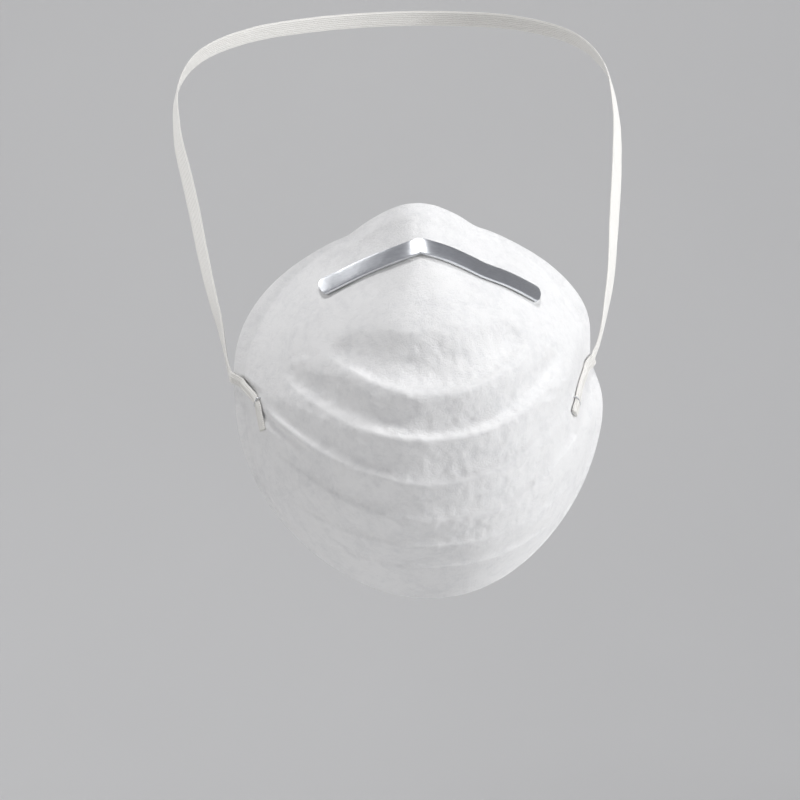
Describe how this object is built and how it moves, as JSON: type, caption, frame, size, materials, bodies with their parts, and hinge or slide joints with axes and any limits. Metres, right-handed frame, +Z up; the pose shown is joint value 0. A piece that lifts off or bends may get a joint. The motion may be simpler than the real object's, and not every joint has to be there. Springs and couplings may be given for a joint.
{
  "type": "disposable dust mask",
  "caption": "Cup-shaped disposable dust mask with moulded smile-shaped ribs, a bendable metal nose strip and one flat elastic head strap stapled at the cheeks.",
  "frame": {"origin": "centre of the face opening, in the plane of the cheek edges", "axes": "+X to the right of a front view, +Y back into the face, +Z up"},
  "size_m": [0.1599, 0.2445, 0.2118],
  "materials": {
    "cover_web": "matte nonwoven",
    "filter_web": "matte nonwoven",
    "shell_web": "matte moulded nonwoven",
    "clip_metal": "satin",
    "adhesive": "satin",
    "elastic": "matte woven",
    "staple_steel": "satin"
  },
  "bodies": {
    "cup": {"outer_web": "cover_web", "filter_web": "filter_web", "inner_web": "shell_web", "nose_clip": "clip_metal", "nose_clip_adhesive": "adhesive", "strap_end_right": "elastic", "strap_end_left": "elastic", "staple_right": "staple_steel", "staple_left": "staple_steel"},
    "strap": {"strap_loop": "elastic"}
  },
  "joints": [
    {"name": "strap_swing", "type": "hinge", "parent": "cup", "child": "strap", "pos_m": [0, 0.0025, 0.0132], "axis": [0.9998, 0, -0.0216], "range_deg": [-140, 150]}
  ]
}
